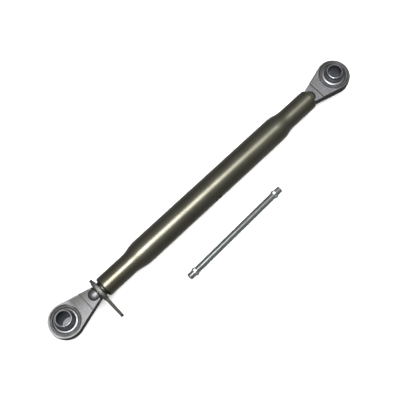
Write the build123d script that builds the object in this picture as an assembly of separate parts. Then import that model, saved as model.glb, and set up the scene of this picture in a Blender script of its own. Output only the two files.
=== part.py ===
from build123d import *
import math
import os

# Tractor top link: a turnbuckle barrel between two forged ball ends, with a lock nut and a loose tommy bar.
# Millimetres. X runs along the link, Z points up along the pin bores.
# The origin is the centre of the ball at the lock nut's end. The link lies on the rim of this ball, which leans.

# Barrel, a drawn tube swaged down to a tapped neck at each end
barrel_length = 535.0
barrel_diameter = 50.0
barrel_wall = 6.3
neck_diameter = 40.0
neck_length = 61.0
swage_length = 35.0
barrel_end_round = 4.0
mouth_chamfer = 1.2
tommy_hole_diameter = 16.5
tommy_hole_round = 1.0

# Screw thread of the shanks, the lock nut and the necks, drawn plain at its pitch line
thread_diameter = 30.0
thread_pitch = 3.5
thread_clearance = 0.15
pitch_line_drop = 0.6495

# Where the screws stand at rest: bare thread behind the lock nut, and room at the plain end's shoulder
nut_standoff = 2.1
plain_end_gap = 0.2

# Forged end: round eye, flat blade and shank
eye_diameter = 66.0
eye_thickness = 21.2
blade_thickness = 19.8
panel_edge_x = 47.5
blade_root_width = 31.0
blade_edge_round = 3.2
forging_draft = 4.0
dome_centre_x = 66.3
nut_neck_length = 5.2
plain_neck_length = 0.5
shank_length = 262.0
shank_end_chamfer = 2.5

# Coined socket that holds the ball
ball_clearance = 0.08
socket_mouth_diameter = 39.0
lip_diameter = 48.0
lip_round = 3.6
groove_diameter = 57.4
groove_floor_diameter = 53.4
groove_depth = 1.6

# Ball with its pin bore
ball_diameter = 47.0
ball_width = 51.0
ball_hub_diameter = 30.0
ball_hub_round = 0.6
pin_bore_diameter = 25.7
pin_bore_chamfer = 1.0
nut_ball_lean = 6.0

# Lock nut and the lever plate welded round it
nut_diameter = 38.0
nut_thickness = 9.0
nut_gap = 3.4
nut_edge_chamfer = 1.2
lever_fit_clearance = 0.05
lever_thickness = 6.0
lever_ring_diameter = 47.0
lever_reach = 61.6
lever_root_width = 26.0
lever_tip_width = 18.0
lever_stub_reach = 24.7
lever_stub_width = 20.0
lever_root_fillet = 8.0
lever_stub_fillet = 1.5
lever_tip_round = 2.0
lever_edge_round = 0.8

# Tommy bar, lying beside the barrel
bar_diameter = 12.7
bar_length = 241.5
bar_end_chamfer = 1.2
ear_inset = 15.5
ear_length = 11.0
ear_width = 16.0
ear_thickness = 7.6
ear_edge_round = 1.2
ear_press_length = 5.5
ear_press_depth = 0.6
bar_middle_x = 334.3
bar_offset = 88.3
bar_turn = 1.0
bar_roll = -20.0

# Values worked out from the sizes above
pitch_radius = (thread_diameter - pitch_line_drop * thread_pitch) / 2
tapped_radius = pitch_radius + thread_clearance
shank_radius = thread_diameter / 2
nut_shoulder_x = dome_centre_x + nut_neck_length
plain_shoulder_x = dome_centre_x + plain_neck_length
nut_middle_x = nut_shoulder_x + nut_standoff + nut_thickness / 2
barrel_start_x = nut_middle_x + nut_thickness / 2 + nut_gap
barrel_end_x = barrel_start_x + barrel_length
barrel_middle_x = (barrel_start_x + barrel_end_x) / 2
plain_ball_x = barrel_end_x + plain_end_gap + plain_shoulder_x
eye_radius = eye_diameter / 2
eye_face_z = eye_thickness / 2
blade_face_z = blade_thickness / 2
ball_radius = ball_diameter / 2
socket_radius = ball_radius + ball_clearance
lip_top_z = math.sqrt(socket_radius**2 - (socket_mouth_diameter / 2) ** 2)
lean_angle = math.radians(nut_ball_lean)
rim_height = ball_width / 2 - ball_hub_round
rim_radius = ball_hub_diameter / 2 - ball_hub_round
floor_z = -rim_height * math.cos(lean_angle) - rim_radius * math.sin(lean_angle) - ball_hub_round


def end_rings(solid, axis):
    """Round edges of the two end faces across an axis, each end's sorted from the smallest."""
    rings = solid.edges().filter_by(GeomType.CIRCLE).group_by(axis)
    return [group.sort_by(SortBy.RADIUS) for group in (rings[0], rings[-1])]


def swage_line(small_x, small_radius, large_x, large_radius):
    """S-shaped line of two equal arcs, level where it meets the neck and the full tube."""
    middle = ((small_x + large_x) / 2, (small_radius + large_radius) / 2)
    outwards = (large_x - small_x, 0)
    inwards = (small_x - large_x, 0)
    return [
        TangentArc((small_x, small_radius), middle, tangent=outwards),
        TangentArc((large_x, large_radius), middle, tangent=inwards),
    ]


def tube_line(neck_radius, main_radius):
    """One side of the tube's wall, from the nut end to the plain end."""
    first_neck_x = barrel_start_x + neck_length
    last_neck_x = barrel_end_x - neck_length
    first_main_x = first_neck_x + swage_length
    last_main_x = last_neck_x - swage_length
    return [
        Line((barrel_start_x, neck_radius), (first_neck_x, neck_radius)),
        *swage_line(first_neck_x, neck_radius, first_main_x, main_radius),
        Line((first_main_x, main_radius), (last_main_x, main_radius)),
        *swage_line(last_neck_x, neck_radius, last_main_x, main_radius),
        Line((last_neck_x, neck_radius), (barrel_end_x, neck_radius)),
    ]


def make_barrel():
    """Swaged tube with a tapped neck at each end and a cross hole for the tommy bar."""
    neck_radius = neck_diameter / 2
    main_radius = barrel_diameter / 2
    wall = [
        *tube_line(neck_radius, main_radius),
        *tube_line(tapped_radius, main_radius - barrel_wall),
        Line((barrel_start_x, neck_radius), (barrel_start_x, tapped_radius)),
        Line((barrel_end_x, neck_radius), (barrel_end_x, tapped_radius)),
    ]
    barrel = revolve(make_face(wall), Axis.X)
    outer_rims = [rings[-1] for rings in end_rings(barrel, Axis.X)]
    barrel = fillet(outer_rims, barrel_end_round)
    mouths = [rings[0] for rings in end_rings(barrel, Axis.X)]
    barrel = chamfer(mouths, mouth_chamfer)
    hole = Cylinder(tommy_hole_diameter / 2, barrel_diameter, rotation=(90, 0, 0))
    barrel -= Pos(barrel_middle_x, 0, 0) * hole
    hole_rims = barrel.edges().filter_by(GeomType.CIRCLE, reverse=True).group_by(Axis.Y)
    return fillet(hole_rims[0] + hole_rims[-1], tommy_hole_round)


def blade_outline(shoulder_x):
    """Plan of the forging: the round eye drawn down by tangent flanks into the neck, up to its shoulder."""
    root_half = blade_root_width / 2
    root_distance = math.hypot(dome_centre_x, root_half)
    touch_angle = math.atan2(root_half, dome_centre_x) + math.acos(eye_radius / root_distance)
    touch_x = eye_radius * math.cos(touch_angle)
    touch_y = eye_radius * math.sin(touch_angle)
    end_half = root_half - (shoulder_x - dome_centre_x) / math.tan(touch_angle)
    outline = [
        ThreePointArc((touch_x, touch_y), (-eye_radius, 0), (touch_x, -touch_y)),
        Line((touch_x, touch_y), (shoulder_x, end_half)),
        Line((shoulder_x, end_half), (shoulder_x, -end_half)),
        Line((shoulder_x, -end_half), (touch_x, -touch_y)),
    ]
    return make_face(outline)


def make_blade(shoulder_x):
    """Eye and blade with drafted, rounded sides and a lower face beyond the panel's edge."""
    plan = blade_outline(shoulder_x)
    upper = extrude(plan, eye_face_z, taper=forging_draft)
    rim = upper.faces().sort_by(Axis.Z)[-1].edges()
    upper = fillet(rim, blade_edge_round)
    blade = upper + mirror(upper, about=Plane.XY)
    trim_length = shank_length - panel_edge_x
    trim_depth = eye_face_z - blade_face_z
    trim_corner = (Align.MIN, Align.CENTER, Align.MIN)
    trim = Box(trim_length, eye_diameter, trim_depth, align=trim_corner)
    upper_trim = Pos(panel_edge_x, 0, blade_face_z) * trim
    return blade - upper_trim - mirror(upper_trim, about=Plane.XY)


def make_shank(shoulder_x):
    """Round neck whose nose runs out as a dome on the blade's face, and the screw beyond its shoulder."""
    outline = [
        CenterArc((dome_centre_x, 0), shank_radius, 90, 90),
        *Polyline(
            (dome_centre_x, shank_radius),
            (shoulder_x, shank_radius),
            (shoulder_x + shank_radius - pitch_radius, pitch_radius),
            (shank_length - shank_end_chamfer, pitch_radius),
            (shank_length, pitch_radius - shank_end_chamfer),
            (shank_length, 0),
            (dome_centre_x - shank_radius, 0),
        ).edges(),
    ]
    return revolve(make_face(outline), Axis.X)


def socket_groove():
    """Ring of metal pushed down by coining, outside the lip."""
    floor_height = eye_face_z - groove_depth
    section = make_face(
        Polyline(
            (lip_diameter / 2, lip_top_z),
            (lip_diameter / 2, floor_height),
            (groove_floor_diameter / 2, floor_height),
            (groove_diameter / 2, eye_face_z),
            (groove_diameter / 2, lip_top_z),
            close=True,
        )
    )
    return revolve(Plane.XZ * section, Axis.Z)


def socket_lip():
    """Disc that stands above the groove: the socket's sphere later leaves its lip."""
    floor_height = eye_face_z - groove_depth
    lip_height = lip_top_z - floor_height
    disc = Cylinder(lip_diameter / 2, lip_height, align=(Align.CENTER, Align.CENTER, Align.MIN))
    rim = disc.edges().filter_by(GeomType.CIRCLE).sort_by(Axis.Z)[-1]
    return Pos(0, 0, floor_height) * fillet(rim, lip_round)


def make_eye(shoulder_x):
    """Forged end about its ball's centre, with the shank along X."""
    eye = make_blade(shoulder_x) + make_shank(shoulder_x)
    for face in (Plane.XY, Plane.XY.rotated((180, 0, 0))):
        eye -= face * socket_groove()
        eye += face * socket_lip()
    return eye - Sphere(socket_radius)


def make_ball():
    """Ball with short hubs and a pin bore."""
    ball = Sphere(ball_radius) + Cylinder(ball_hub_diameter / 2, ball_width)
    hub_rims = [rings[-1] for rings in end_rings(ball, Axis.Z)]
    ball = fillet(hub_rims, ball_hub_round)
    ball -= Cylinder(pin_bore_diameter / 2, ball_width)
    bore_rims = [rings[0] for rings in end_rings(ball, Axis.Z)]
    return chamfer(bore_rims, pin_bore_chamfer)


def make_lock_nut():
    """Round nut on the nut end's shank."""
    nut = Cylinder(nut_diameter / 2, nut_thickness) - Cylinder(tapped_radius, nut_thickness)
    nut = chamfer(nut.edges().filter_by(GeomType.CIRCLE), nut_edge_chamfer)
    return Pos(nut_middle_x, 0, 0) * Rot(0, 90, 0) * nut


def make_lock_lever():
    """Flat lever plate: a ring round the nut, a long tail to pull and a short stub behind."""
    tail = Polygon(
        (0, lever_root_width / 2),
        (-lever_reach, lever_tip_width / 2),
        (-lever_reach, -lever_tip_width / 2),
        (0, -lever_root_width / 2),
        align=None,
    )
    stub = Pos(lever_stub_reach / 2, 0) * Rectangle(lever_stub_reach, lever_stub_width)
    plan = Circle(lever_ring_diameter / 2) + tail + stub
    plate = extrude(Plane.YZ * plan, lever_thickness / 2, both=True)
    tail_root = plate.edges().filter_by(Axis.X).group_by(Axis.Y)[1]
    plate = fillet(tail_root, lever_root_fillet)
    stub_root = plate.edges().filter_by(Axis.X).group_by(Axis.Y)[-2]
    plate = fillet(stub_root, lever_stub_fillet)
    corners = plate.edges().filter_by(Axis.X).group_by(Axis.Y)
    plate = fillet(corners[0] + corners[-1], lever_tip_round)
    sides = plate.faces().sort_by(Axis.X)
    plate = fillet(sides[0].edges() + sides[-1].edges(), lever_edge_round)
    seat = Cylinder(nut_diameter / 2 + lever_fit_clearance, 2 * lever_thickness, rotation=(0, 90, 0))
    return Pos(nut_middle_x, 0, 0) * (plate - seat)


def make_tommy_bar():
    """Round bar with a pair of pinched ears near each end."""
    bar = Cylinder(bar_diameter / 2, bar_length, rotation=(0, 90, 0))
    bar = chamfer(bar.edges().filter_by(GeomType.CIRCLE), bar_end_chamfer)
    ear = extrude(Ellipse(ear_length / 2, ear_width / 2), ear_thickness / 2, both=True)
    ear = fillet(ear.edges().filter_by(GeomType.ELLIPSE), ear_edge_round)
    press_top = (Align.CENTER, Align.CENTER, Align.MAX)
    press = Box(ear_press_length, bar_diameter, ear_press_depth, align=press_top)
    for side in (-1, 1):
        ear_x = side * (bar_length / 2 - ear_inset)
        bar += Pos(ear_x, 0, 0) * ear
        upper_press = Pos(ear_x, 0, bar_diameter / 2) * press
        bar -= upper_press
        bar -= mirror(upper_press, about=Plane.XY)
    lie = Rot(0, 0, bar_turn) * Rot(bar_roll, 0, 0)
    return Pos(bar_middle_x, -bar_offset, floor_z + bar_diameter / 2) * lie * bar


to_plain_end = Pos(plain_ball_x, 0, 0) * Rot(0, 0, 180)

nodes = {
    "barrel": make_barrel(),
    "nut_end_eye": make_eye(nut_shoulder_x),
    "plain_end_eye": to_plain_end * make_eye(plain_shoulder_x),
    "nut_end_ball": Rot(-nut_ball_lean, 0, 0) * make_ball(),
    "plain_end_ball": to_plain_end * make_ball(),
    "lock_nut": make_lock_nut(),
    "lock_lever": make_lock_lever(),
    "tommy_bar": make_tommy_bar(),
}

os.makedirs("parts", exist_ok=True)
for name, solid in nodes.items():
    export_step(solid, f"parts/{name}.step")
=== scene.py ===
"""Looks of a tractor top link: finishes, screw threads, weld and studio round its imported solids."""
import math

import bpy
from bpy.props import FloatProperty, FloatVectorProperty, IntProperty, PointerProperty
from mathutils import Matrix, Vector


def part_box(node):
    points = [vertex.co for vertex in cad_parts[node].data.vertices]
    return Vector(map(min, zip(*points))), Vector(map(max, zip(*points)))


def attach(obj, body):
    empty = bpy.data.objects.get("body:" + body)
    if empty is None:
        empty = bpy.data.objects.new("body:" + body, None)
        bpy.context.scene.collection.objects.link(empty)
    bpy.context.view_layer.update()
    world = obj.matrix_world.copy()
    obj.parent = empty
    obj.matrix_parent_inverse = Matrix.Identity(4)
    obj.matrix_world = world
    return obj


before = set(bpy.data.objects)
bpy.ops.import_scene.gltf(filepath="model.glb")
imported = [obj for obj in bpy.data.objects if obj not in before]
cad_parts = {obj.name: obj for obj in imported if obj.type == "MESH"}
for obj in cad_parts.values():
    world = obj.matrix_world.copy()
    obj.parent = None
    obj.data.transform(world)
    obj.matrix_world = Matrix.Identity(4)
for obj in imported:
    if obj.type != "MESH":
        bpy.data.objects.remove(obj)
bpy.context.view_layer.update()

bl_info = {
    "name": "Tractor Top Link",
    "version": (1, 0, 0),
    "blender": (4, 5, 0),
    "location": "3D View > Sidebar > Top Link",
    "description": "Finishes, screw threads, weld and studio for a turnbuckle top link",
    "category": "Object",
}

# Metres in a millimetre
MM = 0.001

# Sockets known by number, because others of their node have the same name
COLOUR_A, COLOUR_B, MIXED_COLOUR = 6, 7, 2
NUMBER_MIN, NUMBER_MAX, RANDOM_NUMBER = 2, 3, 1


def middle(node_name):
    """Middle of a solid's box at rest."""
    low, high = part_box(node_name)
    return (low + high) / 2


# Places read from the solids, in metres
NUT_BALL_X = middle("nut_end_ball").x
PLAIN_BALL_X = middle("plain_end_ball").x
NUT_SHANK_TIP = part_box("nut_end_eye")[1].x
PLAIN_SHANK_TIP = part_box("plain_end_eye")[0].x
BARREL_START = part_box("barrel")[0].x
NUT_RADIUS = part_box("lock_nut")[1].y
LEVER_LOW, LEVER_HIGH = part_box("lock_lever")
BAR_MIDDLE = middle("tommy_bar")
FLOOR_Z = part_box("nut_end_ball")[0].z


def linear(code):
    """Linear colour of an sRGB hex value."""
    parts = [int(code[i : i + 2], 16) / 255 for i in (1, 3, 5)]
    return (*[c / 12.92 if c <= 0.04045 else ((c + 0.055) / 1.055) ** 2.4 for c in parts], 1.0)


def per(millimetres):
    """Texture scale that gives a pattern of this size, for coordinates in metres."""
    return 1 / (millimetres * MM)


def add(tree, kind, inputs=None, **settings):
    """Adds a node, sets its options, sets or links its inputs by name or number, and gives its outputs."""
    node = tree.nodes.new(kind)
    for option, value in settings.items():
        setattr(node, option, value)
    for socket, value in (inputs or {}).items():
        if isinstance(value, bpy.types.NodeSocket):
            tree.links.new(value, node.inputs[socket])
        else:
            node.inputs[socket].default_value = value
    return node.outputs


def new_material(name):
    """An empty node material and its tree."""
    material = bpy.data.materials.new(name)
    material.use_nodes = True
    material.node_tree.nodes.clear()
    return material, material.node_tree


def colour_property(name, description, code):
    """A colour that a user can change, given as an sRGB hex value."""
    return FloatVectorProperty(
        name=name, description=description, subtype="COLOR", size=4, min=0, max=1, default=linear(code)
    )


def length_property(name, description, default):
    """A length in metres that a user can change."""
    return FloatProperty(name=name, description=description, unit="LENGTH", precision=5, default=default)


def angle_property(name, description, degrees):
    """An angle that a user can change, given in degrees."""
    return FloatProperty(name=name, description=description, subtype="ANGLE", default=math.radians(degrees))


def place_property(name, description, default):
    """A place in metres that a user can change."""
    return FloatVectorProperty(
        name=name, description=description, subtype="XYZ", unit="LENGTH", precision=4, default=default
    )


class TopLinkFinishes(bpy.types.PropertyGroup):
    """Colours of the finishes."""

    tube: colour_property("Tube", "Drawn tube under oil, and the plain end's neck", "#525148")
    tube_stain: colour_property("Tube stain", "Darker patches in the film of oil", "#47463d")
    tube_heat: colour_property("Heat tint", "Warm tint on the barrel's nut end and the weld", "#57503c")
    forging: colour_property("Forging", "Blasted forging", "#7b7b7d")
    forging_pit: colour_property("Forging pits", "Pits of the grain, and the plain end's edges", "#565658")
    # Also the colour of the painted shade on the blades' far sides and flanks
    scale: colour_property("Scale", "Dark scale on the forgings, balls and lever", "#353530")
    edge: colour_property("Forging edges", "Rounded edges rubbed bright at the nut end", "#b2b2b4")
    neck: colour_property("Neck", "Smooth neck of the nut end and its round nose", "#484949")
    # The lip colours are a painted highlight on one side of each lip and the shaded tone of the rest
    nut_lip_highlight: colour_property("Nut end lip", "Burnished side of the nut end's lip", "#67686b")
    plain_lip_highlight: colour_property("Plain end lip", "Burnished side of the plain end's lip", "#7c7d82")
    lip_shaded: colour_property("Dull lip", "Unworn side of the lip", "#37383a")
    thread: colour_property("Thread", "Oiled screw thread and its shank", "#3d3c37")
    ball: colour_property("Ball", "Hardened ball", "#626367")
    # Also a painted highlight on one side of the plain end's hub
    hub: colour_property("Ball hub", "Turned end faces of the balls, rubbed bright", "#b8b9bc")
    # Painted shade and reflection in the pin bores: bluish grey lower down, near black at the upper mouth
    bore: colour_property("Pin bore", "Bluish lower part of the pin bores", "#606772")
    bore_mouth_shade: colour_property("Bore mouth", "Dark oily upper mouth of the pin bores", "#1f2125")
    # Painted shade: dims the reflection in the nut end's bore
    bore_shade_tint: colour_property("Bore sheen", "Dulled glancing light in the nut end's bore", "#b3b3b3")
    nut: colour_property("Lock nut", "Turned nut", "#4c4c49")
    # On the top of the lever's ring this is also a painted highlight
    rubbed: colour_property("Rubbed metal", "Thread crests and lever ring rubbed bright", "#8b8c8c")
    lever: colour_property("Lever", "Cut plate of the lever, and dull patches in zinc", "#282926")
    weld: colour_property("Weld", "Weld bead", "#54514b")
    bar: colour_property("Tommy bar", "Zinc plated bar", "#4e5250")
    # Painted highlight on the pressed facets at the bar's ears
    facet_highlight: colour_property("Struck facets", "Facets pressed bright at the bar's ears", "#d2d2cf")
    floor: colour_property("Floor", "Pale floor", "#fafafa")


class TopLinkBarrel(bpy.types.PropertyGroup):
    """Reach of the barrel's warm tint."""

    tint_length: length_property("Tint length", "From the barrel's nut end to where its tint fades", 0.13)


class TopLinkEnds(bpy.types.PropertyGroup):
    """Sizes of the forged ends that their finishes follow, from a ball's centre."""

    ball_width: length_property("Ball width", "Between the ball's end faces", 0.051)
    bore_diameter: length_property("Pin bore", "Across the pin bore", 0.0257)
    lip_diameter: length_property("Lip", "Across the coined lip", 0.048)
    nut_groove: length_property("Nut end groove", "Across the scale in the groove round the lip", 0.0574)
    plain_groove: length_property("Plain end groove", "Across the scale that spills over its rim", 0.0602)
    panel_edge: length_property("Panel edge", "To the step across the blade", 0.0475)
    step_line: length_property("Step line", "Half the width of the scale along that step", 0.0008)
    dome_centre: length_property("Dome centre", "To the centre of the neck's round nose", 0.0663)
    neck_diameter: length_property("Neck", "Across the neck and its nose", 0.03)
    blade_thickness: length_property("Blade", "Thickness of the blade beyond the panel", 0.0198)
    nut_shoulder: length_property("Nut end shoulder", "To the end of the nut end's neck", 0.0715)
    plain_shoulder: length_property("Plain end shoulder", "To the end of the plain end's neck", 0.0668)
    # Painted shade across the blade's far side, from where it begins to where it is darkest
    far_shade_start: length_property("Far scale start", "Across the blade to where scale begins", -0.012)
    far_shade_end: length_property("Far scale end", "Across the blade to where scale is densest", 0.014)
    ball_lean: angle_property("Ball lean", "Lean of the nut end's ball", 6)


class TopLinkThread(bpy.types.PropertyGroup):
    """Screw thread of both shanks."""

    crest_diameter: length_property("Crest diameter", "Across the thread's crests", 0.03)
    foot_diameter: length_property("Foot diameter", "Where the ridge leaves the plain shank", 0.02764)
    crest_width: length_property("Crest width", "Width of the ridge's crest", 0.00049)
    foot_width: length_property("Foot width", "Width of the ridge's foot", 0.001925)
    pitch: length_property("Pitch", "From one crest to the next", 0.0035)
    run_out: length_property("Run-out", "Plain length at the shank's tip", 0.0035)


class TopLinkWeld(bpy.types.PropertyGroup):
    """Weld bead between the lock nut and its lever."""

    bead: length_property("Bead size", "Radius of one ripple", 0.0012)
    ripples: IntProperty(name="Ripples", description="Ripples round one seam", default=130, min=8)


class TopLinkBar(bpy.types.PropertyGroup):
    """Lie of the tommy bar and its pressed ears, which its finish follows."""

    diameter: length_property("Diameter", "Across the bar", 0.0127)
    ear_place: length_property("Ears", "From the bar's middle to its ears", 0.10525)
    ear_press: length_property("Press mark", "Length of the facet pressed at an ear", 0.0055)
    roll: angle_property("Roll", "Turn about the bar's axis", -20)
    turn: angle_property("Turn", "Turn on the floor", 1)


class TopLinkStage(bpy.types.PropertyGroup):
    """Camera, lights and floor."""

    camera_place: place_property("Camera", "Where the camera stands", (0.0522, -0.2864, 1.2893))
    camera_target: place_property("Target", "Point in the middle of the picture", (0.3258, -0.0016, 0.0))
    camera_lens: FloatProperty(name="Lens", description="Focal length", unit="CAMERA", default=65.25)
    strip_place: place_property("Strip light", "Where the light in the metal hangs", (0.12, -0.08, 1.35))
    strip_length: length_property("Strip length", "Length of the strip light", 0.8)
    strip_width: length_property("Strip width", "Width of the strip light", 0.5)
    strip_power: FloatProperty(
        name="Strip power", description="Power of the strip light", unit="POWER", default=54.0
    )
    fill_place: place_property("Fill light", "Where the light that whitens the floor hangs", (0.3, 0.2, 2.5))
    fill_width: length_property("Fill width", "Width of the square fill light", 4.0)
    fill_power: FloatProperty(
        name="Fill power", description="Power of the fill light", unit="POWER", default=180.0
    )
    wall_light: FloatProperty(
        name="Wall light", description="Light from the room's walls", default=0.4, min=0
    )
    ceiling_light: FloatProperty(
        name="Ceiling light", description="Light from straight above", default=1.2, min=0
    )
    floor_light: FloatProperty(
        name="Floor glow", description="Light back from the floor", default=0.55, min=0
    )
    floor_reach: length_property("Floor reach", "From the floor's middle to its sides", 4.0)


def drawn_tube(finish, barrel):
    """Cold-drawn steel tube under oil: dark, with fine lines and a soft gloss drawn out along it."""
    material, tree = new_material("oiled_drawn_tube")
    place = add(tree, "ShaderNodeTexCoord")["Object"]
    x = add(tree, "ShaderNodeSeparateXYZ", {"Vector": place})["X"]

    # Drawing lines are some tenths of a millimetre wide and are drawn near 1.4 mm, so that they show
    along = add(tree, "ShaderNodeMapping", {"Vector": place, "Scale": (0.03, 1, 1)})[0]
    lines = add(tree, "ShaderNodeTexNoise", {"Vector": along, "Scale": per(1.4), "Detail": 4.0})[0]
    stains = add(tree, "ShaderNodeTexNoise", {"Vector": place, "Scale": per(34), "Detail": 5.0})[0]
    patch = add(
        tree, "ShaderNodeMapRange", {"Value": stains, "From Min": 0.42, "From Max": 0.66, "To Max": 0.6}
    )[0]
    tint_end = BARREL_START + barrel.tint_length
    warmth = {"Value": x, "From Min": BARREL_START, "From Max": tint_end, "To Min": 0.35, "To Max": 0.0}
    near_nut = add(tree, "ShaderNodeMapRange", warmth)[0]
    tint = add(tree, "ShaderNodeMath", {0: near_nut, 1: stains}, operation="MULTIPLY")[0]
    streak = add(
        tree, "ShaderNodeMapRange", {"Value": lines, "From Min": 0.3, "From Max": 0.7, "To Max": 0.22}
    )[0]
    colour = finish.tube
    for mask, layer in ((patch, finish.tube_stain), (tint, finish.tube_heat), (streak, finish.tube_stain)):
        mixed = {"Factor": mask, COLOUR_A: colour, COLOUR_B: layer}
        colour = add(tree, "ShaderNodeMix", mixed, data_type="RGBA")[MIXED_COLOUR]

    shine = {"Value": lines, "From Min": 0.3, "From Max": 0.7, "To Min": 0.36, "To Max": 0.42}
    gloss = add(tree, "ShaderNodeMapRange", shine)[0]
    relief = add(tree, "ShaderNodeBump", {"Height": lines, "Strength": 0.25, "Distance": 0.06 * MM})[0]
    around = add(tree, "ShaderNodeTangent", direction_type="RADIAL", axis="X")[0]
    surface = {
        "Base Color": colour,
        "Roughness": gloss,
        "Normal": relief,
        "Tangent": around,
        "Anisotropic": 0.6,
        "Anisotropic Rotation": 0.25,
        "Metallic": 1.0,
    }
    shader = add(tree, "ShaderNodeBsdfPrincipled", surface)
    add(tree, "ShaderNodeOutputMaterial", {"Surface": shader["BSDF"]})
    return material


def end_looks(finish, ends):
    """What differs between the two ends: place, sizes, painted highlights and shade, and scale.

    A side given for the lip or the hub is the direction in plan of its painted highlight, whose X is towards
    the barrel for the lip and along the link for the hub. The far shade is the strength of the painted shade
    on the blade's far side, and soot the most scale in the groove. A near flank gets painted shade where its
    normal's Y is below flank_turn.
    """
    return {
        "nut_end": {
            "ball_x": NUT_BALL_X,
            "inwards": 1,
            "shoulder": ends.nut_shoulder,
            "groove_diameter": ends.nut_groove,
            "neck": finish.neck,
            "edge": finish.edge,
            "lip": finish.nut_lip_highlight,
            "lip_lit_side": (0.2, -0.98, 0),
            "far_shade": 0.7,
            "flank_turn": -0.25,
            "soot": 0.95,
            "ball_lean": ends.ball_lean,
            "hub_lit_side": (0, 0, 0),  # No painted highlight on this hub
            "bore_shade_tint": finish.bore_shade_tint,
        },
        "plain_end": {
            "ball_x": PLAIN_BALL_X,
            "inwards": -1,
            "shoulder": ends.plain_shoulder,
            "groove_diameter": ends.plain_groove,
            "neck": finish.tube,
            "edge": finish.forging_pit,
            "lip": finish.plain_lip_highlight,
            "lip_lit_side": (0.95, -0.3, 0),
            "far_shade": 0.15,
            "flank_turn": -0.35,
            "soot": 0.75,
            "ball_lean": 0.0,
            "hub_lit_side": (-0.87, -0.5, 0),
            "bore_shade_tint": None,  # No painted shade in this bore
        },
    }


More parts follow.
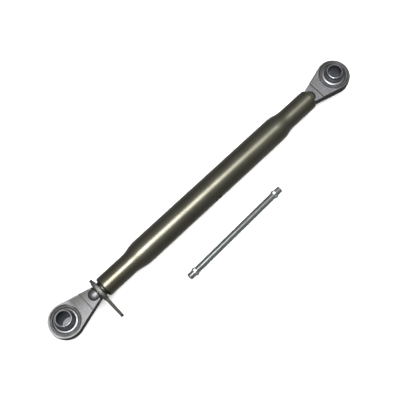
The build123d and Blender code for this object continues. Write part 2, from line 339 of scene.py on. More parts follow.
def blasted_forging(finish, ends, name, end):
    """Shot-blasted forging: matte speckled grain, painted shade on the flanks and far side, dark scale in
    the groove, and a smoother lip and neck.
    """
    material, tree = new_material(name)
    coordinates = add(tree, "ShaderNodeTexCoord")
    place = coordinates["Object"]
    split = add(tree, "ShaderNodeSeparateXYZ", {"Vector": place})
    facing = add(tree, "ShaderNodeSeparateXYZ", {"Vector": coordinates["Normal"]})
    upright = add(tree, "ShaderNodeMath", {0: facing["Z"]}, operation="ABSOLUTE")[0]
    height = add(tree, "ShaderNodeMath", {0: split["Z"]}, operation="ABSOLUTE")[0]

    # The plan is seen from the ball's centre, with its X towards the barrel
    from_ball = {0: split["X"], 1: end["inwards"], 2: -end["inwards"] * end["ball_x"]}
    reach = add(tree, "ShaderNodeMath", from_ball, operation="MULTIPLY_ADD")[0]
    plan = add(tree, "ShaderNodeCombineXYZ", {"X": reach, "Y": split["Y"]})[0]
    radius = add(tree, "ShaderNodeVectorMath", {0: plan}, operation="LENGTH")["Value"]
    lip_side = {0: plan, 1: end["lip_lit_side"]}
    to_lit_side = add(tree, "ShaderNodeVectorMath", lip_side, operation="DOT_PRODUCT")["Value"]
    past_dome = add(tree, "ShaderNodeMath", {0: reach, 1: ends.dome_centre}, operation="SUBTRACT")[0]
    from_dome = add(tree, "ShaderNodeCombineXYZ", {"X": past_dome, "Y": split["Y"], "Z": split["Z"]})[0]
    dome_radius = add(tree, "ShaderNodeVectorMath", {0: from_dome}, operation="LENGTH")["Value"]

    # The blasted grain is about 0.4 mm and is drawn near 2 mm, so that it shows as the photographed speckle
    grain = add(tree, "ShaderNodeTexNoise", {"Vector": place, "Scale": per(2.0), "Detail": 4.0})[0]
    cloud = add(tree, "ShaderNodeTexNoise", {"Vector": place, "Scale": per(16), "Detail": 4.0})[0]

    # What each mask follows, and the limits between which it goes from 0 to 1
    lip_radius = ends.lip_diameter / 2
    rim_radius = end["groove_diameter"] / 2
    neck_radius = ends.neck_diameter / 2
    blade_face = ends.blade_thickness / 2
    limits = {
        "in_pit": (grain, 0.62, 0.38),
        "on_blade": (reach, 0.8 * rim_radius, rim_radius),
        "far_side": (split["Y"], ends.far_shade_start, ends.far_shade_end),
        "rounding": (upright, 0.99, 0.9),
        "by_eye": (reach, ends.dome_centre, ends.panel_edge),
        "steep": (upright, 0.7, 0.3),
        "near_side": (facing["Y"], end["flank_turn"], end["flank_turn"] - 0.25),
        "past_lip": (radius, lip_radius - 0.2 * MM, lip_radius + 0.3 * MM),
        "inside_rim": (radius, rim_radius, rim_radius - 0.8 * MM),
        "in_dome": (dome_radius, neck_radius + 0.6 * MM, neck_radius + 0.3 * MM),
        "over_blade": (height, blade_face, blade_face + 0.4 * MM),
        "past_dome": (past_dome, -0.5 * MM, 0.5 * MM),
        "on_lip": (radius, lip_radius + 0.3 * MM, lip_radius - 0.4 * MM),
        "lip_lit": (to_lit_side, -0.4 * lip_radius, 0.9 * lip_radius),
        "on_shank": (reach, end["shoulder"], end["shoulder"] + 1.0 * MM),
    }
    mask = {}
    for part, (value, start, stop) in limits.items():
        ramp = {"Value": value, "From Min": start, "From Max": stop}
        mask[part] = add(tree, "ShaderNodeMapRange", ramp)[0]

    # Painted shade darkens the blade's far side, and its rounded edges have a tone of their own
    far_blade = add(
        tree, "ShaderNodeMath", {0: mask["on_blade"], 1: mask["far_side"]}, operation="MULTIPLY"
    )[0]
    far_shade = add(tree, "ShaderNodeMath", {0: far_blade, 1: end["far_shade"]}, operation="MULTIPLY")[0]
    on_edge = add(tree, "ShaderNodeMath", {0: mask["rounding"], 1: mask["by_eye"]}, operation="MULTIPLY")[0]

    # Painted shade darkens the steep flanks and any face turned to the near side; dark scale stays in the
    # groove and along the panel's step
    flank = add(tree, "ShaderNodeMath", {0: mask["steep"], 1: mask["near_side"]}, operation="MAXIMUM")[0]
    in_groove = add(
        tree, "ShaderNodeMath", {0: mask["past_lip"], 1: mask["inside_rim"]}, operation="MULTIPLY"
    )[0]
    least = end["soot"] - 0.4
    soot = {"Value": cloud, "From Min": 0.3, "From Max": 0.65, "To Min": least, "To Max": end["soot"]}
    sooty = add(tree, "ShaderNodeMapRange", soot)[0]
    groove = add(tree, "ShaderNodeMath", {0: in_groove, 1: sooty}, operation="MULTIPLY")[0]
    darkened = add(tree, "ShaderNodeMath", {0: flank, 1: groove}, operation="MAXIMUM")[0]
    step = add(
        tree, "ShaderNodeMath", {0: reach, 1: ends.panel_edge, 2: ends.step_line}, operation="COMPARE"
    )[0]
    scale_and_shade = add(tree, "ShaderNodeMath", {0: darkened, 1: step}, operation="MAXIMUM")[0]

    # The neck and its round nose are smooth, and so is the lip
    nose = add(tree, "ShaderNodeMath", {0: mask["in_dome"], 1: mask["over_blade"]}, operation="MULTIPLY")[0]
    on_neck = add(tree, "ShaderNodeMath", {0: nose, 1: mask["past_dome"]}, operation="MAXIMUM")[0]
    smooth = add(tree, "ShaderNodeMath", {0: mask["on_lip"], 1: on_neck}, operation="MAXIMUM")[0]
    # Painted highlight: the lip is lit on one side and keeps its shaded tone on the rest
    lip_lighting = {"Factor": mask["lip_lit"], COLOUR_A: finish.lip_shaded, COLOUR_B: end["lip"]}
    shaded_and_lit_lip = add(tree, "ShaderNodeMix", lip_lighting, data_type="RGBA")[MIXED_COLOUR]
    layers = (
        (mask["in_pit"], finish.forging_pit),
        (far_shade, finish.scale),
        (on_edge, end["edge"]),
        (scale_and_shade, finish.scale),
        (on_neck, end["neck"]),
        (mask["on_lip"], shaded_and_lit_lip),
        (mask["on_shank"], finish.thread),
    )
    colour = finish.forging
    for cover, layer in layers:
        mixed = {"Factor": cover, COLOUR_A: colour, COLOUR_B: layer}
        colour = add(tree, "ShaderNodeMix", mixed, data_type="RGBA")[MIXED_COLOUR]

    shine = {"Value": grain, "From Min": 0.35, "From Max": 0.65, "To Min": 0.64, "To Max": 0.78}
    matte = add(tree, "ShaderNodeMapRange", shine)[0]
    gloss = add(tree, "ShaderNodeMix", {"Factor": smooth, "A": matte, "B": 0.46})[0]
    rough = add(tree, "ShaderNodeMath", {0: 1.0, 1: smooth}, operation="SUBTRACT")[0]
    depth = add(tree, "ShaderNodeMath", {0: rough, 1: grain}, operation="MULTIPLY")[0]
    relief = add(tree, "ShaderNodeBump", {"Height": depth, "Strength": 0.5, "Distance": 0.25 * MM})[0]
    surface = {"Base Color": colour, "Roughness": gloss, "Normal": relief, "Metallic": 1.0}
    shader = add(tree, "ShaderNodeBsdfPrincipled", surface)
    add(tree, "ShaderNodeOutputMaterial", {"Surface": shader["BSDF"]})
    return material


def hardened_ball(finish, ends, name, end):
    """Turned and hardened steel ball: dark satin with faint rings, lighter end faces with a painted
    highlight, and a bluish bore with painted shade.
    """
    material, tree = new_material(name)
    place = add(tree, "ShaderNodeTexCoord")["Object"]
    lie = {"Vector": place, "Location": (end["ball_x"], 0, 0), "Rotation": (-end["ball_lean"], 0, 0)}
    own = add(tree, "ShaderNodeMapping", lie, vector_type="TEXTURE")[0]
    split = add(tree, "ShaderNodeSeparateXYZ", {"Vector": own})
    plan = add(tree, "ShaderNodeCombineXYZ", {"X": split["X"], "Y": split["Y"]})[0]
    radius = add(tree, "ShaderNodeVectorMath", {0: plan}, operation="LENGTH")["Value"]
    profile = add(tree, "ShaderNodeCombineXYZ", {"X": radius, "Z": split["Z"]})[0]
    height = add(tree, "ShaderNodeMath", {0: split["Z"]}, operation="ABSOLUTE")[0]
    hub_side = {0: plan, 1: end["hub_lit_side"]}
    to_lit_side = add(tree, "ShaderNodeVectorMath", hub_side, operation="DOT_PRODUCT")["Value"]

    # Turning rings are some tenths of a millimetre wide and are drawn near 1.2 mm, so that they show
    rings = add(tree, "ShaderNodeTexNoise", {"Vector": profile, "Scale": per(1.2), "Detail": 3.0})[0]
    cloud = add(tree, "ShaderNodeTexNoise", {"Vector": place, "Scale": per(9), "Detail": 4.0})[0]
    shade = add(
        tree, "ShaderNodeMapRange", {"Value": cloud, "From Min": 0.35, "From Max": 0.65, "To Max": 0.45}
    )[0]
    half_width = ends.ball_width / 2
    hub_depth = {"Value": height, "From Min": half_width - 1.2 * MM, "From Max": half_width - 0.4 * MM}
    on_hub = add(tree, "ShaderNodeMapRange", hub_depth)[0]
    bore_radius = ends.bore_diameter / 2
    # Painted highlight: the hub lightens towards its lit side, over a faint lighter tone on all of it
    hub_highlight_ramp = {
        "Value": to_lit_side,
        "From Min": 0.7 * bore_radius,
        "From Max": 1.1 * bore_radius,
        "To Min": 0.3,
    }
    hub_tone_and_highlight = add(tree, "ShaderNodeMapRange", hub_highlight_ramp)[0]
    hub_tones = {"Factor": hub_tone_and_highlight, COLOUR_A: finish.ball, COLOUR_B: finish.hub}
    hub = add(tree, "ShaderNodeMix", hub_tones, data_type="RGBA")[MIXED_COLOUR]
    bore_edge = {"Value": radius, "From Min": bore_radius + 0.4 * MM, "From Max": bore_radius + 0.1 * MM}
    in_bore = add(tree, "ShaderNodeMapRange", bore_edge)[0]
    # Painted shade and reflection: the bore is near black at its upper mouth and bluish grey lower down
    bore_depth = {"Value": split["Z"], "From Min": 0.8 * half_width, "From Max": -0.7 * half_width}
    deep = add(tree, "ShaderNodeMapRange", bore_depth)[0]
    bore_tones = {"Factor": deep, COLOUR_A: finish.bore_mouth_shade, COLOUR_B: finish.bore}
    bore = add(tree, "ShaderNodeMix", bore_tones, data_type="RGBA")[MIXED_COLOUR]
    colour = finish.ball
    for mask, layer in ((shade, finish.scale), (on_hub, hub), (in_bore, bore)):
        mixed = {"Factor": mask, COLOUR_A: colour, COLOUR_B: layer}
        colour = add(tree, "ShaderNodeMix", mixed, data_type="RGBA")[MIXED_COLOUR]

    shine = {"Value": rings, "From Min": 0.3, "From Max": 0.7, "To Min": 0.24, "To Max": 0.38}
    gloss = add(tree, "ShaderNodeMapRange", shine)[0]
    relief = add(tree, "ShaderNodeBump", {"Height": rings, "Strength": 0.2, "Distance": 0.05 * MM})[0]
    surface = {"Base Color": colour, "Roughness": gloss, "Normal": relief, "Metallic": 1.0}
    # Painted shade: the nut end's bore reflects less light
    if end["bore_shade_tint"] is not None:
        sheen = {"Factor": in_bore, COLOUR_A: linear("#ffffff"), COLOUR_B: end["bore_shade_tint"]}
        surface["Specular Tint"] = add(tree, "ShaderNodeMix", sheen, data_type="RGBA")[MIXED_COLOUR]
    shader = add(tree, "ShaderNodeBsdfPrincipled", surface)
    add(tree, "ShaderNodeOutputMaterial", {"Surface": shader["BSDF"]})
    return material


def turned_nut(finish):
    """Turned nut under dulled zinc plate: dark grey, with fine turning lines round it."""
    material, tree = new_material("turned_plated_nut")
    place = add(tree, "ShaderNodeTexCoord")["Object"]
    split = add(tree, "ShaderNodeSeparateXYZ", {"Vector": place})
    plan = add(tree, "ShaderNodeCombineXYZ", {"Y": split["Y"], "Z": split["Z"]})[0]
    radius = add(tree, "ShaderNodeVectorMath", {0: plan}, operation="LENGTH")["Value"]
    profile = add(tree, "ShaderNodeCombineXYZ", {"X": split["X"], "Y": radius})[0]

    # Turning lines are some tenths of a millimetre wide and are drawn near 0.8 mm, so that they show
    rings = add(tree, "ShaderNodeTexNoise", {"Vector": profile, "Scale": per(0.8), "Detail": 3.0})[0]
    cloud = add(tree, "ShaderNodeTexNoise", {"Vector": place, "Scale": per(7), "Detail": 4.0})[0]
    dulled = add(
        tree, "ShaderNodeMapRange", {"Value": cloud, "From Min": 0.4, "From Max": 0.7, "To Max": 0.5}
    )[0]
    mixed = {"Factor": dulled, COLOUR_A: finish.nut, COLOUR_B: finish.lever}
    colour = add(tree, "ShaderNodeMix", mixed, data_type="RGBA")[MIXED_COLOUR]
    shine = {"Value": rings, "From Min": 0.3, "From Max": 0.7, "To Min": 0.22, "To Max": 0.36}
    gloss = add(tree, "ShaderNodeMapRange", shine)[0]
    relief = add(tree, "ShaderNodeBump", {"Height": rings, "Strength": 0.3, "Distance": 0.06 * MM})[0]
    surface = {"Base Color": colour, "Roughness": gloss, "Normal": relief, "Metallic": 1.0}
    shader = add(tree, "ShaderNodeBsdfPrincipled", surface)
    add(tree, "ShaderNodeOutputMaterial", {"Surface": shader["BSDF"]})
    return material


def cut_plate(finish):
    """Hot-rolled plate cut to shape: dark dull mill scale, with cut edges faintly rubbed and a painted
    highlight on them over the ring's top.
    """
    material, tree = new_material("cut_mill_plate")
    coordinates = add(tree, "ShaderNodeTexCoord")
    place = coordinates["Object"]
    z = add(tree, "ShaderNodeSeparateXYZ", {"Vector": place})["Z"]
    facing = add(tree, "ShaderNodeSeparateXYZ", {"Vector": coordinates["Normal"]})["X"]
    flat = add(tree, "ShaderNodeMath", {0: facing}, operation="ABSOLUTE")[0]
    cloud = add(tree, "ShaderNodeTexNoise", {"Vector": place, "Scale": per(6), "Detail": 6.0})[0]
    drag = add(tree, "ShaderNodeMapping", {"Vector": place, "Scale": (0.2, 1, 1)})[0]
    cuts = add(tree, "ShaderNodeTexNoise", {"Vector": drag, "Scale": per(0.9), "Detail": 3.0})[0]
    mottle = add(
        tree, "ShaderNodeMapRange", {"Value": cloud, "From Min": 0.38, "From Max": 0.62, "To Max": 0.8}
    )[0]
    # Painted highlight: the cut edges lighten towards the top of the ring, over a faint rub all along them
    rise = {
        "Value": z,
        "From Min": 0.5 * LEVER_HIGH.z,
        "From Max": 0.9 * LEVER_HIGH.z,
        "To Min": 0.06,
        "To Max": 0.3,
    }
    ring = add(tree, "ShaderNodeMapRange", rise)[0]
    cut = add(tree, "ShaderNodeMapRange", {"Value": flat, "From Min": 0.6, "From Max": 0.2})[0]
    cut_rub_and_highlight = add(tree, "ShaderNodeMath", {0: cut, 1: ring}, operation="MULTIPLY")[0]
    colour = finish.lever
    for mask, layer in ((mottle, finish.scale), (cut_rub_and_highlight, finish.rubbed)):
        mixed = {"Factor": mask, COLOUR_A: colour, COLOUR_B: layer}
        colour = add(tree, "ShaderNodeMix", mixed, data_type="RGBA")[MIXED_COLOUR]

    shine = {"Value": cloud, "From Min": 0.3, "From Max": 0.7, "To Min": 0.7, "To Max": 0.84}
    dull = add(tree, "ShaderNodeMapRange", shine)[0]
    gloss = add(tree, "ShaderNodeMix", {"Factor": cut_rub_and_highlight, "A": dull, "B": 0.3})[0]
    relief = add(tree, "ShaderNodeBump", {"Height": cuts, "Strength": 0.3, "Distance": 0.1 * MM})[0]
    surface = {"Base Color": colour, "Roughness": gloss, "Normal": relief, "Metallic": 1.0}
    shader = add(tree, "ShaderNodeBsdfPrincipled", surface)
    add(tree, "ShaderNodeOutputMaterial", {"Surface": shader["BSDF"]})
    return material


def plated_bar(finish, bar):
    """Zinc plated drawn bar: a hazy grey film over faint lines along it, and a painted highlight on the
    pressed facets at its ears.
    """
    material, tree = new_material("zinc_plated_bar")
    place = add(tree, "ShaderNodeTexCoord")["Object"]
    lie = {"Vector": place, "Location": BAR_MIDDLE, "Rotation": (bar.roll, 0, bar.turn)}
    own = add(tree, "ShaderNodeMapping", lie, vector_type="TEXTURE")[0]
    split = add(tree, "ShaderNodeSeparateXYZ", {"Vector": own})
    height = add(tree, "ShaderNodeMath", {0: split["Z"]}, operation="ABSOLUTE")[0]
    from_middle = add(tree, "ShaderNodeMath", {0: split["X"]}, operation="ABSOLUTE")[0]

    # Drawing lines are some tenths of a millimetre wide and are drawn near 0.9 mm, so that they show
    along = add(tree, "ShaderNodeMapping", {"Vector": place, "Scale": (0.05, 1, 1)})[0]
    lines = add(tree, "ShaderNodeTexNoise", {"Vector": along, "Scale": per(0.9), "Detail": 4.0})[0]
    cloud = add(tree, "ShaderNodeTexNoise", {"Vector": place, "Scale": per(11), "Detail": 5.0})[0]
    haze = add(
        tree, "ShaderNodeMapRange", {"Value": cloud, "From Min": 0.38, "From Max": 0.66, "To Max": 0.35}
    )[0]
    ears = {0: from_middle, 1: bar.ear_place, 2: bar.ear_press / 2}
    by_ear = add(tree, "ShaderNodeMath", ears, operation="COMPARE")[0]
    # Painted highlight on the crowns of the pressed facets at the ears
    crown = {"Value": height, "From Min": 0.43 * bar.diameter, "From Max": 0.45 * bar.diameter}
    on_crown = add(tree, "ShaderNodeMapRange", crown)[0]
    facet_highlight = add(tree, "ShaderNodeMath", {0: by_ear, 1: on_crown}, operation="MULTIPLY")[0]
    colour = finish.bar
    for mask, layer in ((haze, finish.lever), (facet_highlight, finish.facet_highlight)):
        mixed = {"Factor": mask, COLOUR_A: colour, COLOUR_B: layer}
        colour = add(tree, "ShaderNodeMix", mixed, data_type="RGBA")[MIXED_COLOUR]

    shine = {"Value": lines, "From Min": 0.3, "From Max": 0.7, "To Min": 0.25, "To Max": 0.32}
    gloss = add(tree, "ShaderNodeMapRange", shine)[0]
    relief = add(tree, "ShaderNodeBump", {"Height": lines, "Strength": 0.25, "Distance": 0.05 * MM})[0]
    around = add(tree, "ShaderNodeTangent", direction_type="RADIAL", axis="X")[0]
    surface = {
        "Base Color": colour,
        "Roughness": gloss,
        "Normal": relief,
        "Tangent": around,
        "Anisotropic": 0.7,
        "Anisotropic Rotation": 0.25,
        "Metallic": 0.45,
    }
    shader = add(tree, "ShaderNodeBsdfPrincipled", surface)
    add(tree, "ShaderNodeOutputMaterial", {"Surface": shader["BSDF"]})
    return material


def oiled_thread(finish, size):
    """Rolled screw thread: dark oil on its flanks and crests polished by use."""
    material, tree = new_material("oiled_rolled_thread")
    place = add(tree, "ShaderNodeTexCoord")["Object"]
    split = add(tree, "ShaderNodeSeparateXYZ", {"Vector": place})
    plan = add(tree, "ShaderNodeCombineXYZ", {"Y": split["Y"], "Z": split["Z"]})[0]
    radius = add(tree, "ShaderNodeVectorMath", {0: plan}, operation="LENGTH")["Value"]
    cloud = add(tree, "ShaderNodeTexNoise", {"Vector": place, "Scale": per(5), "Detail": 4.0})[0]
    crest_radius = size.crest_diameter / 2
    top = {"Value": radius, "From Min": 0.96 * crest_radius, "From Max": crest_radius}
    crest = add(tree, "ShaderNodeMapRange", top)[0]
    rubbed = add(tree, "ShaderNodeMath", {0: crest, 1: cloud}, operation="MULTIPLY")[0]
    mixed = {"Factor": rubbed, COLOUR_A: finish.thread, COLOUR_B: finish.rubbed}
    colour = add(tree, "ShaderNodeMix", mixed, data_type="RGBA")[MIXED_COLOUR]
    shine = {"Value": cloud, "From Min": 0.3, "From Max": 0.7, "To Min": 0.26, "To Max": 0.42}
    gloss = add(tree, "ShaderNodeMapRange", shine)[0]
    surface = {"Base Color": colour, "Roughness": gloss, "Metallic": 1.0}
    shader = add(tree, "ShaderNodeBsdfPrincipled", surface)
    add(tree, "ShaderNodeOutputMaterial", {"Surface": shader["BSDF"]})
    return material


def weld_metal(finish):
    """Arc weld bead: grey metal clouded by brown heat tint."""
    material, tree = new_material("arc_weld_bead")
    place = add(tree, "ShaderNodeTexCoord")["Object"]
    cloud = add(tree, "ShaderNodeTexNoise", {"Vector": place, "Scale": per(3), "Detail": 5.0})[0]
    burnt = add(tree, "ShaderNodeMapRange", {"Value": cloud, "From Min": 0.4, "From Max": 0.65})[0]
    mixed = {"Factor": burnt, COLOUR_A: finish.weld, COLOUR_B: finish.tube_heat}
    colour = add(tree, "ShaderNodeMix", mixed, data_type="RGBA")[MIXED_COLOUR]
    shine = {"Value": cloud, "From Min": 0.3, "From Max": 0.7, "To Min": 0.3, "To Max": 0.5}
    gloss = add(tree, "ShaderNodeMapRange", shine)[0]
    surface = {"Base Color": colour, "Roughness": gloss, "Metallic": 1.0}
    shader = add(tree, "ShaderNodeBsdfPrincipled", surface)
    add(tree, "ShaderNodeOutputMaterial", {"Surface": shader["BSDF"]})
    return material


def floor_paint(finish):
    """Matt pale floor paint with a faintly uneven gloss."""
    material, tree = new_material("pale_floor")
    place = add(tree, "ShaderNodeTexCoord")["Object"]
    cloud = add(tree, "ShaderNodeTexNoise", {"Vector": place, "Scale": per(400), "Detail": 2.0})[0]
    gloss = add(tree, "ShaderNodeMapRange", {"Value": cloud, "To Min": 0.8, "To Max": 0.9})[0]
    surface = {"Base Color": finish.floor, "Roughness": gloss, "Specular IOR Level": 0.1}
    shader = add(tree, "ShaderNodeBsdfPrincipled", surface)
    add(tree, "ShaderNodeOutputMaterial", {"Surface": shader["BSDF"]})
    return material


def dress(node_name, material):
    """Gives a solid its finish."""
    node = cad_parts[node_name]
    node.data.materials.clear()
    node.data.materials.append(material)


def new_shape_tree(name, inputs):
    """A geometry node group with named inputs of these socket types, and the sockets that bring them in."""
    tree = bpy.data.node_groups.new(name, "GeometryNodeTree")
    for label, kind in inputs.items():
        tree.interface.new_socket(label, in_out="INPUT", socket_type=kind)
    tree.interface.new_socket("Geometry", in_out="OUTPUT", socket_type="NodeSocketGeometry")
    return tree, add(tree, "NodeGroupInput")


def thread_tree():
    """Helical ridge along X: a tapered section swept along a spiral."""
    tree, given = new_shape_tree(
        "Screw thread",
        {
            "Crest radius": "NodeSocketFloat",
            "Foot radius": "NodeSocketFloat",
            "Crest width": "NodeSocketFloat",
            "Foot width": "NodeSocketFloat",
            "Pitch": "NodeSocketFloat",
            "Length": "NodeSocketFloat",
            "Start": "NodeSocketFloat",
            "Left hand": "NodeSocketBool",
            "Material": "NodeSocketMaterial",
        },
    )
    radii = {0: given["Crest radius"], 1: given["Foot radius"]}
    both = add(tree, "ShaderNodeMath", radii, operation="ADD")[0]
    middle_radius = add(tree, "ShaderNodeMath", {0: both, 1: 0.5}, operation="MULTIPLY")[0]
    depth = add(tree, "ShaderNodeMath", radii, operation="SUBTRACT")[0]
    turns = add(tree, "ShaderNodeMath", {0: given["Length"], 1: given["Pitch"]}, operation="DIVIDE")[0]
    helix = {
        "Resolution": 40,
        "Rotations": turns,
        "Start Radius": middle_radius,
        "End Radius": middle_radius,
        "Height": given["Length"],
        "Reverse": given["Left hand"],
    }
    spiral = add(tree, "GeometryNodeCurveSpiral", helix)[0]
    path = add(tree, "GeometryNodeSetCurveNormal", {"Curve": spiral}, mode="Z_UP")[0]
    taper = {
        "Height": depth,
        "Bottom Width": given["Foot width"],
        "Top Width": given["Crest width"],
        "Offset": 0.0,
    }
    section = add(tree, "GeometryNodeCurvePrimitiveQuadrilateral", taper, mode="TRAPEZOID")[0]
    quarter_turn = math.radians(90)
    turned = add(tree, "GeometryNodeTransform", {"Geometry": section, "Rotation": (0, 0, quarter_turn)})[0]
    ridge = add(
        tree, "GeometryNodeCurveToMesh", {"Curve": path, "Profile Curve": turned, "Fill Caps": True}
    )[0]
    start = add(tree, "ShaderNodeCombineXYZ", {"X": given["Start"]})[0]
    along_x = {"Geometry": ridge, "Translation": start, "Rotation": (0, quarter_turn, 0)}
    laid = add(tree, "GeometryNodeTransform", along_x)[0]
    whole = add(tree, "GeometryNodeRealizeInstances", {"Geometry": laid})[0]
    finished = add(tree, "GeometryNodeSetMaterial", {"Geometry": whole, "Material": given["Material"]})[0]
    add(tree, "NodeGroupOutput", {"Geometry": finished})
    return tree


def weld_tree():
    """Two rings of weld ripples about X, one on each face of the lever plate."""
    tree, given = new_shape_tree(
        "Weld bead",
        {
            "Seam radius": "NodeSocketFloat",
            "Bead": "NodeSocketFloat",
            "Ripples": "NodeSocketInt",
            "First seam": "NodeSocketFloat",
            "Second seam": "NodeSocketFloat",
            "Material": "NodeSocketMaterial",
        },
    )
    seam_ring = {"Vertices": given["Ripples"], "Radius": given["Seam radius"]}
    ring = add(tree, "GeometryNodeMeshCircle", seam_ring)[0]
    spread = {NUMBER_MIN: 0.9, NUMBER_MAX: 1.1, "Seed": 7}
    sizes = add(tree, "FunctionNodeRandomValue", spread, data_type="FLOAT")[RANDOM_NUMBER]
    ripple = add(tree, "GeometryNodeMeshIcoSphere", {"Radius": given["Bead"], "Subdivisions": 2})[0]
    row = {"Points": ring, "Instance": ripple, "Scale": sizes}
    beads = add(tree, "GeometryNodeInstanceOnPoints", row)[0]
    joined = add(tree, "GeometryNodeJoinGeometry")[0]
    for seam in ("Second seam", "First seam"):
        shift = add(tree, "ShaderNodeCombineXYZ", {"X": given[seam]})[0]
        about_x = {"Geometry": beads, "Translation": shift, "Rotation": (0, math.radians(90), 0)}
        placed = add(tree, "GeometryNodeTransform", about_x)[0]
        tree.links.new(placed, joined.node.inputs["Geometry"])
    whole = add(tree, "GeometryNodeRealizeInstances", {"Geometry": joined})[0]
    smooth = add(tree, "GeometryNodeSetShadeSmooth", {"Geometry": whole})[0]
    finished = add(tree, "GeometryNodeSetMaterial", {"Geometry": smooth, "Material": given["Material"]})[0]
    add(tree, "NodeGroupOutput", {"Geometry": finished})
    return tree


def grow(name, tree, values, body):
    """Makes a plain mesh from a geometry node group and sets it on its body."""
    piece = bpy.data.objects.new(name, bpy.data.meshes.new(name))
    bpy.context.scene.collection.objects.link(piece)
    modifier = piece.modifiers.new("Shape", "NODES")
    modifier.node_group = tree
    for socket in tree.interface.items_tree:
        if socket.in_out == "INPUT":
            modifier[socket.identifier] = values[socket.name]
    evaluated = piece.evaluated_get(bpy.context.evaluated_depsgraph_get())
    mesh = bpy.data.meshes.new_from_object(evaluated)
    if not mesh.polygons:
        raise RuntimeError(f"{name} came out empty")
    piece.modifiers.remove(modifier)
    piece.data = mesh
    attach(piece, body)


class TOPLINK_OT_barrel(bpy.types.Operator):
    """Finish the barrel as oiled drawn tube"""

    bl_idname = "toplink.barrel"
    bl_label = "Finish Barrel"

    def execute(self, context):
        dress("barrel", drawn_tube(context.scene.toplink_finishes, context.scene.toplink_barrel))
        return {"FINISHED"}


class TOPLINK_OT_forged_ends(bpy.types.Operator):
    """Finish both forged ends as blasted forgings"""

    bl_idname = "toplink.forged_ends"
    bl_label = "Finish Forged Ends"

    def execute(self, context):
        finish = context.scene.toplink_finishes
        ends = context.scene.toplink_ends
        for name, end in end_looks(finish, ends).items():
            dress(f"{name}_eye", blasted_forging(finish, ends, f"blasted_forging_{name}", end))
        return {"FINISHED"}


class TOPLINK_OT_balls(bpy.types.Operator):
    """Finish both balls as hardened steel"""

    bl_idname = "toplink.balls"
    bl_label = "Finish Balls"

    def execute(self, context):
        finish = context.scene.toplink_finishes
        ends = context.scene.toplink_ends
        for name, end in end_looks(finish, ends).items():
            dress(f"{name}_ball", hardened_ball(finish, ends, f"hardened_ball_{name}", end))
        return {"FINISHED"}


class TOPLINK_OT_threads(bpy.types.Operator):
    """Cut a right-hand thread on the nut end's shank and a left-hand one on the plain end's"""

    bl_idname = "toplink.threads"
    bl_label = "Cut Threads"

    def execute(self, context):
        ends = context.scene.toplink_ends
        size = context.scene.toplink_thread
        tree = thread_tree()
        values = {
            "Crest radius": size.crest_diameter / 2,
            "Foot radius": size.foot_diameter / 2,
            "Crest width": size.crest_width,
            "Foot width": size.foot_width,
            "Pitch": size.pitch,
            "Material": oiled_thread(context.scene.toplink_finishes, size),
        }
        first = NUT_BALL_X + ends.nut_shoulder
        last = NUT_SHANK_TIP - size.run_out
        values |= {"Start": first, "Length": last - first, "Left hand": False}
        grow("nut_end_thread", tree, values, "nut_end")
        first = PLAIN_SHANK_TIP + size.run_out
        last = PLAIN_BALL_X - ends.plain_shoulder
        values |= {"Start": first, "Length": last - first, "Left hand": True}
        grow("plain_end_thread", tree, values, "plain_end")
        return {"FINISHED"}


class TOPLINK_OT_lock_nut(bpy.types.Operator):
    """Finish the lock nut and its lever and lay the weld between them"""

    bl_idname = "toplink.lock_nut"
    bl_label = "Finish Lock Nut"

    def execute(self, context):
        finish = context.scene.toplink_finishes
        weld = context.scene.toplink_weld
        dress("lock_nut", turned_nut(finish))
        dress("lock_lever", cut_plate(finish))
        values = {
            "Seam radius": NUT_RADIUS,
            "Bead": weld.bead,
            "Ripples": weld.ripples,
            "First seam": LEVER_LOW.x,
            "Second seam": LEVER_HIGH.x,
            "Material": weld_metal(finish),
        }
        grow("lever_weld", weld_tree(), values, "lock_lever")
        return {"FINISHED"}


class TOPLINK_OT_tommy_bar(bpy.types.Operator):
    """Finish the tommy bar as zinc plated steel"""

    bl_idname = "toplink.tommy_bar"
    bl_label = "Finish Tommy Bar"

    def execute(self, context):
        dress("tommy_bar", plated_bar(context.scene.toplink_finishes, context.scene.toplink_bar))
        return {"FINISHED"}


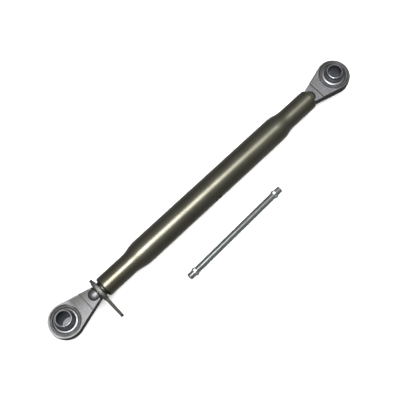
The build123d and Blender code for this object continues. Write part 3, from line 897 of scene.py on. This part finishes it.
class TOPLINK_OT_stage(bpy.types.Operator):
    """Lay the floor and set up the camera and the studio light"""

    bl_idname = "toplink.stage"
    bl_label = "Set Stage"

    def execute(self, context):
        scene = context.scene
        stage = scene.toplink_stage
        self.lay_floor(scene, stage.floor_reach)
        self.light_room(scene, stage)

        # The strip shows only as a reflection in the metal, and the fill never does
        strip_size = (stage.strip_length, stage.strip_width)
        strip = self.hang_light(scene, "strip", stage.strip_power, stage.strip_place, strip_size)
        strip.visible_diffuse = False
        fill_size = (stage.fill_width, stage.fill_width)
        fill = self.hang_light(scene, "fill", stage.fill_power, stage.fill_place, fill_size)
        fill.visible_glossy = False

        self.set_camera(scene, stage)
        scene.view_settings.view_transform = "Standard"
        return {"FINISHED"}

    def lay_floor(self, scene, reach):
        """Lays the floor under the link's lowest rim, unseen in the metal."""
        corners = [(x * reach, y * reach, FLOOR_Z) for x, y in ((-1, -1), (1, -1), (1, 1), (-1, 1))]
        mesh = bpy.data.meshes.new("floor")
        mesh.from_pydata(corners, [], [(0, 1, 2, 3)])
        mesh.materials.append(floor_paint(scene.toplink_finishes))
        floor = bpy.data.objects.new("floor", mesh)
        scene.collection.objects.link(floor)
        floor.visible_glossy = False

    def light_room(self, scene, stage):
        """Surrounds the link with a room that brightens from its walls to its ceiling."""
        world = bpy.data.worlds.new("studio")
        world.use_nodes = True
        tree = world.node_tree
        tree.nodes.clear()
        direction = add(tree, "ShaderNodeTexCoord")["Generated"]
        rise = add(tree, "ShaderNodeSeparateXYZ", {"Vector": direction})["Z"]
        upper = {
            "Value": rise,
            "From Min": 0.2,
            "From Max": 1.0,
            "To Min": stage.wall_light,
            "To Max": stage.ceiling_light,
        }
        above = add(tree, "ShaderNodeMapRange", upper)[0]
        below = add(tree, "ShaderNodeMapRange", {"Value": rise, "From Min": 0.02, "From Max": -0.1})[0]
        room = add(tree, "ShaderNodeMix", {"Factor": below, "A": above, "B": stage.floor_light})[0]
        background = add(tree, "ShaderNodeBackground", {"Color": linear("#ffffff"), "Strength": room})
        add(tree, "ShaderNodeOutputWorld", {"Surface": background["Background"]})
        scene.world = world

    def hang_light(self, scene, name, power, place, size):
        """Hangs a flat light that shines straight down."""
        lamp = bpy.data.lights.new(name, "AREA")
        lamp.shape = "RECTANGLE"
        lamp.size, lamp.size_y = size
        lamp.energy = power
        holder = bpy.data.objects.new(name, lamp)
        holder.location = place
        scene.collection.objects.link(holder)
        return holder

    def set_camera(self, scene, stage):
        """Stands the camera in its place, level and turned to its target."""
        lens = bpy.data.cameras.new("camera")
        lens.lens = stage.camera_lens
        camera = bpy.data.objects.new("camera", lens)
        place = Vector(stage.camera_place)
        back = (place - Vector(stage.camera_target)).normalized()
        level = Vector((0, 0, 1)).cross(back).normalized()
        up = back.cross(level)
        turned = Matrix((level, up, back)).transposed()
        camera.matrix_world = Matrix.Translation(place) @ turned.to_4x4()
        scene.collection.objects.link(camera)
        scene.camera = camera


class TOPLINK_PT_panel(bpy.types.Panel):
    """Sizes, colours and steps of the top link"""

    bl_idname = "TOPLINK_PT_panel"
    bl_label = "Top Link"
    bl_space_type = "VIEW_3D"
    bl_region_type = "UI"
    bl_category = "Top Link"

    def draw(self, context):
        for name, group in GROUPS.items():
            box = self.layout.box()
            for value in group.__annotations__:
                box.prop(getattr(context.scene, name), value)
        for operator in OPERATORS:
            self.layout.operator(operator.bl_idname)


GROUPS = {
    "toplink_finishes": TopLinkFinishes,
    "toplink_barrel": TopLinkBarrel,
    "toplink_ends": TopLinkEnds,
    "toplink_thread": TopLinkThread,
    "toplink_weld": TopLinkWeld,
    "toplink_bar": TopLinkBar,
    "toplink_stage": TopLinkStage,
}
OPERATORS = (
    TOPLINK_OT_barrel,
    TOPLINK_OT_forged_ends,
    TOPLINK_OT_balls,
    TOPLINK_OT_threads,
    TOPLINK_OT_lock_nut,
    TOPLINK_OT_tommy_bar,
    TOPLINK_OT_stage,
)


def register():
    for name, group in GROUPS.items():
        bpy.utils.register_class(group)
        setattr(bpy.types.Scene, name, PointerProperty(type=group))
    for cls in (*OPERATORS, TOPLINK_PT_panel):
        bpy.utils.register_class(cls)


def unregister():
    for cls in (TOPLINK_PT_panel, *reversed(OPERATORS)):
        bpy.utils.unregister_class(cls)
    for name, group in GROUPS.items():
        delattr(bpy.types.Scene, name)
        bpy.utils.unregister_class(group)


def main():
    """Builds the whole scene."""
    register()
    bpy.ops.toplink.barrel()
    bpy.ops.toplink.forged_ends()
    bpy.ops.toplink.balls()
    bpy.ops.toplink.threads()
    bpy.ops.toplink.lock_nut()
    bpy.ops.toplink.tommy_bar()
    bpy.ops.toplink.stage()


if __name__ == "__main__":
    main()
